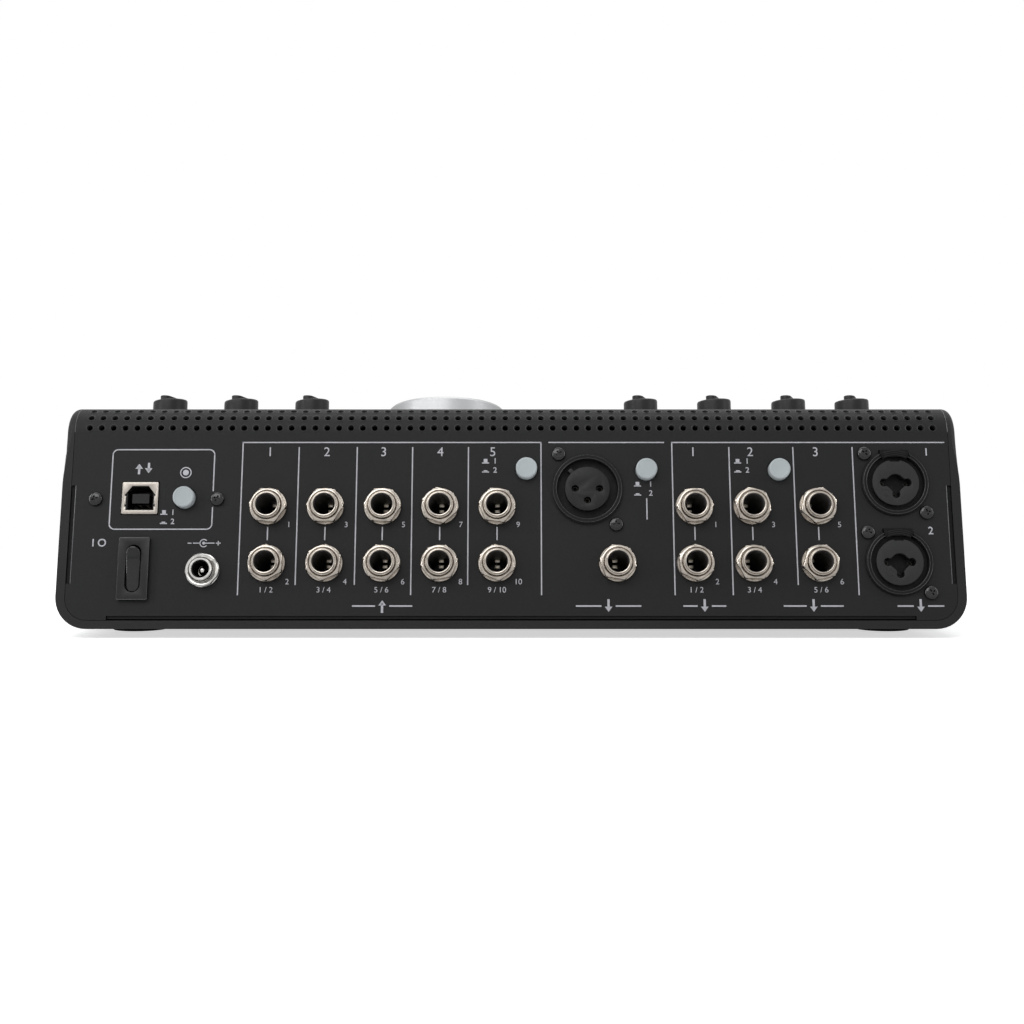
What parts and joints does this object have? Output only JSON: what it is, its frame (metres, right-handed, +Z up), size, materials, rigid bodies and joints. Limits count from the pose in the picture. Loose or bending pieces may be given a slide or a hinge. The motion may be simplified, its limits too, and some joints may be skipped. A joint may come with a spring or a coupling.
{
  "type": "studio monitor controller",
  "caption": "Desktop studio monitor controller: wedge-shaped case, rear panel full of plug sockets, small level knobs and one large silver volume knob on the sloping top.",
  "frame": {"origin": "middle of the case's outline on the surface it stands on, under the feet", "axes": "+X to the right seen from the front, -Y out of the front, +Y out of the rear panel, +Z up"},
  "size_m": [0.3, 0.1698, 0.0831],
  "materials": {
    "case_plastic": "satin moulded, charcoal",
    "cover_paint": "fine matte powder coat, charcoal",
    "foot_rubber": "matte black",
    "zinc_plate": "bright zinc plate",
    "black_screws": "black oxide, satin",
    "socket_plastic": "black moulded plastic",
    "nickel": "bright nickel plate, slightly warm",
    "grey_insert": "dark grey moulded plastic",
    "latch_plastic": "black",
    "rocker_plastic": "glossy black",
    "button_plastic": "light grey, satin",
    "switch_plastic": "black",
    "board": "green solder mask",
    "post_brass": "bright",
    "pot_metal": "dull tin plate",
    "knob_plastic": "charcoal, satin",
    "volume_metal": "fine satin silver",
    "key_plastic": "light grey, satin",
    "lamp_lens": "clear green lens",
    "meter_glass": "dark tinted, glossy",
    "meter_segments": "diffusing green",
    "capsule": "bare"
  },
  "bodies": {
    "case": {"tray": "case_plastic", "cover": "cover_paint", "rubber_feet": "foot_rubber", "fixing_brackets": "zinc_plate", "tray_screws": "zinc_plate", "panel_screws": "black_screws", "output_socket_bodies": "socket_plastic", "output_socket_bushes": "nickel", "output_socket_nuts": "nickel", "input_socket_bodies": "socket_plastic", "input_socket_bushes": "nickel", "input_socket_nuts": "nickel", "phones_socket_bodies": "socket_plastic", "phones_socket_bushes": "nickel", "phones_socket_nuts": "nickel", "mic_shell": "socket_plastic", "mic_insert": "socket_plastic", "combo_shells": "socket_plastic", "combo_inserts": "grey_insert", "usb_shell": "nickel", "usb_insert": "socket_plastic", "dc_socket": "nickel", "power_bezel": "socket_plastic", "rear_switches": "switch_plastic", "boards": "board", "board_posts": "post_brass", "potentiometers": "pot_metal", "volume_potentiometer": "pot_metal", "key_switches": "switch_plastic", "key_lamps": "lamp_lens", "meter_window": "meter_glass", "meter_lamps": "meter_segments", "talkback_microphone": "capsule"},
    "record_source_button_body": {"record_source_button": "button_plastic"},
    "output_level_button_body": {"output_level_button": "button_plastic"},
    "talkback_source_button_body": {"talkback_source_button": "button_plastic"},
    "input_level_button_body": {"input_level_button": "button_plastic"},
    "rocker": {"power_rocker": "rocker_plastic"},
    "latch_1": {"combo_latch_1": "latch_plastic"},
    "latch_2": {"combo_latch_2": "latch_plastic"},
    "input_gain_knob_1_body": {"input_gain_knob_1": "knob_plastic"},
    "input_gain_knob_2_body": {"input_gain_knob_2": "knob_plastic"},
    "cue_level_knob_body": {"cue_level_knob": "knob_plastic"},
    "talkback_level_knob_body": {"talkback_level_knob": "knob_plastic"},
    "studio_level_knob_body": {"studio_level_knob": "knob_plastic"},
    "phones_level_knob_1_body": {"phones_level_knob_1": "knob_plastic"},
    "phones_level_knob_2_body": {"phones_level_knob_2": "knob_plastic"},
    "volume_knob_body": {"volume_knob": "volume_metal"},
    "source_key_1_body": {"source_key_1": "key_plastic"},
    "source_key_2_body": {"source_key_2": "key_plastic"},
    "source_key_3_body": {"source_key_3": "key_plastic"},
    "source_key_4_body": {"source_key_4": "key_plastic"},
    "monitor_key_1_body": {"monitor_key_1": "key_plastic"},
    "monitor_key_2_body": {"monitor_key_2": "key_plastic"},
    "monitor_key_3_body": {"monitor_key_3": "key_plastic"},
    "mono_key_body": {"mono_key": "key_plastic"},
    "dim_key_body": {"dim_key": "key_plastic"},
    "mute_key_body": {"mute_key": "key_plastic"},
    "talkback_key_body": {"talkback_key": "key_plastic"}
  },
  "joints": [
    {"name": "record_source_button_press", "type": "slide", "parent": "case", "child": "record_source_button_body", "axis": [0, -0.9744, -0.225], "range_m": [0, 0.0025], "stiffness_N_per_m": 400},
    {"name": "output_level_button_press", "type": "slide", "parent": "case", "child": "output_level_button_body", "axis": [0, -0.9744, -0.225], "range_m": [0, 0.0025], "stiffness_N_per_m": 400},
    {"name": "talkback_source_button_press", "type": "slide", "parent": "case", "child": "talkback_source_button_body", "axis": [0, -0.9744, -0.225], "range_m": [0, 0.0025], "stiffness_N_per_m": 400},
    {"name": "input_level_button_press", "type": "slide", "parent": "case", "child": "input_level_button_body", "axis": [0, -0.9744, -0.225], "range_m": [0, 0.0025], "stiffness_N_per_m": 400},
    {"name": "power_rocker_tilt", "type": "hinge", "parent": "case", "child": "rocker", "pos_m": [0.1246, 0.07906, 0.02226], "axis": [1, 0, 0], "range_deg": [0, 16]},
    {"name": "combo_latch_1_press", "type": "slide", "parent": "case", "child": "latch_1", "axis": [0, -0.9744, -0.225], "range_m": [0, 0.0015], "stiffness_N_per_m": 600},
    {"name": "combo_latch_2_press", "type": "slide", "parent": "case", "child": "latch_2", "axis": [0, -0.9744, -0.225], "range_m": [0, 0.0015], "stiffness_N_per_m": 600},
    {"name": "input_gain_knob_1_turn", "type": "hinge", "parent": "case", "child": "input_gain_knob_1_body", "pos_m": [-0.12191, 0.03944, 0.07211], "axis": [0, 0.2079, -0.9781], "range_deg": [0, 300]},
    {"name": "input_gain_knob_2_turn", "type": "hinge", "parent": "case", "child": "input_gain_knob_2_body", "pos_m": [-0.0992, 0.03944, 0.07211], "axis": [0, 0.2079, -0.9781], "range_deg": [0, 300]},
    {"name": "cue_level_knob_turn", "type": "hinge", "parent": "case", "child": "cue_level_knob_body", "pos_m": [-0.0726, 0.03944, 0.07211], "axis": [0, 0.2079, -0.9781], "range_deg": [0, 300]},
    {"name": "talkback_level_knob_turn", "type": "hinge", "parent": "case", "child": "talkback_level_knob_body", "pos_m": [-0.0463, 0.03944, 0.07211], "axis": [0, 0.2079, -0.9781], "range_deg": [0, 300]},
    {"name": "studio_level_knob_turn", "type": "hinge", "parent": "case", "child": "studio_level_knob_body", "pos_m": [0.07129, 0.03944, 0.07211], "axis": [0, 0.2079, -0.9781], "range_deg": [0, 300]},
    {"name": "phones_level_knob_1_turn", "type": "hinge", "parent": "case", "child": "phones_level_knob_1_body", "pos_m": [0.0967, 0.03944, 0.07211], "axis": [0, 0.2079, -0.9781], "range_deg": [0, 300]},
    {"name": "phones_level_knob_2_turn", "type": "hinge", "parent": "case", "child": "phones_level_knob_2_body", "pos_m": [0.1221, 0.03944, 0.07211], "axis": [0, 0.2079, -0.9781], "range_deg": [0, 300]},
    {"name": "volume_knob_turn", "type": "hinge", "parent": "case", "child": "volume_knob_body", "pos_m": [0.0252, -0.00653, 0.06234], "axis": [0, 0.2079, -0.9781], "range_deg": [0, 300]},
    {"name": "source_key_1_press", "type": "slide", "parent": "case", "child": "source_key_1_body", "axis": [0, 0.2079, -0.9781], "range_m": [0, 0.0012], "stiffness_N_per_m": 500},
    {"name": "source_key_2_press", "type": "slide", "parent": "case", "child": "source_key_2_body", "axis": [0, 0.2079, -0.9781], "range_m": [0, 0.0012], "stiffness_N_per_m": 500},
    {"name": "source_key_3_press", "type": "slide", "parent": "case", "child": "source_key_3_body", "axis": [0, 0.2079, -0.9781], "range_m": [0, 0.0012], "stiffness_N_per_m": 500},
    {"name": "source_key_4_press", "type": "slide", "parent": "case", "child": "source_key_4_body", "axis": [0, 0.2079, -0.9781], "range_m": [0, 0.0012], "stiffness_N_per_m": 500},
    {"name": "monitor_key_1_press", "type": "slide", "parent": "case", "child": "monitor_key_1_body", "axis": [0, 0.2079, -0.9781], "range_m": [0, 0.0012], "stiffness_N_per_m": 500},
    {"name": "monitor_key_2_press", "type": "slide", "parent": "case", "child": "monitor_key_2_body", "axis": [0, 0.2079, -0.9781], "range_m": [0, 0.0012], "stiffness_N_per_m": 500},
    {"name": "monitor_key_3_press", "type": "slide", "parent": "case", "child": "monitor_key_3_body", "axis": [0, 0.2079, -0.9781], "range_m": [0, 0.0012], "stiffness_N_per_m": 500},
    {"name": "mono_key_press", "type": "slide", "parent": "case", "child": "mono_key_body", "axis": [0, 0.2079, -0.9781], "range_m": [0, 0.0012], "stiffness_N_per_m": 500},
    {"name": "dim_key_press", "type": "slide", "parent": "case", "child": "dim_key_body", "axis": [0, 0.2079, -0.9781], "range_m": [0, 0.0012], "stiffness_N_per_m": 500},
    {"name": "mute_key_press", "type": "slide", "parent": "case", "child": "mute_key_body", "axis": [0, 0.2079, -0.9781], "range_m": [0, 0.0012], "stiffness_N_per_m": 500},
    {"name": "talkback_key_press", "type": "slide", "parent": "case", "child": "talkback_key_body", "axis": [0, 0.2079, -0.9781], "range_m": [0, 0.0012], "stiffness_N_per_m": 500}
  ]
}
